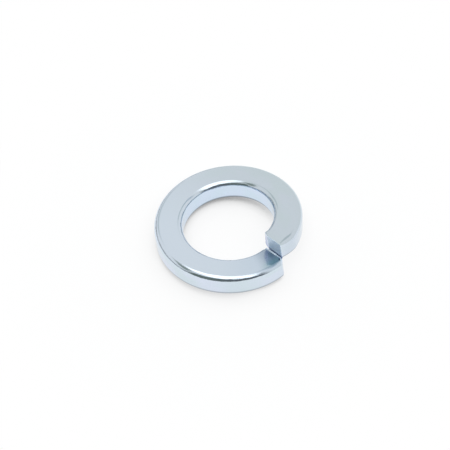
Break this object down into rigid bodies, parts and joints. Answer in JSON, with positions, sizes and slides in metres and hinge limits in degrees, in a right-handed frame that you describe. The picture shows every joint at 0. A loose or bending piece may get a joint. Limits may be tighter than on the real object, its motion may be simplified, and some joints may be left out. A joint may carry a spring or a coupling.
{
  "type": "spring lock washer",
  "caption": "Split ring of heavy round-cornered wire wound as a left-hand helix, sprung open at a radial shear cut, to lock an M20 screw or nut.",
  "frame": {"origin": "on the bore axis, at the level of the lowest point of the underside", "axes": "+Z along the bore axis, from the low end towards the high end. +X and +Y are radial, and the split lies 44 degrees clockwise from +X seen from above"},
  "size_m": [0.0334, 0.0334, 0.01],
  "materials": {
    "zinc_plate": "bright blue-white zinc plate on spring steel"
  },
  "bodies": {
    "root": {"spring_washer": "zinc_plate"}
  },
  "joints": []
}
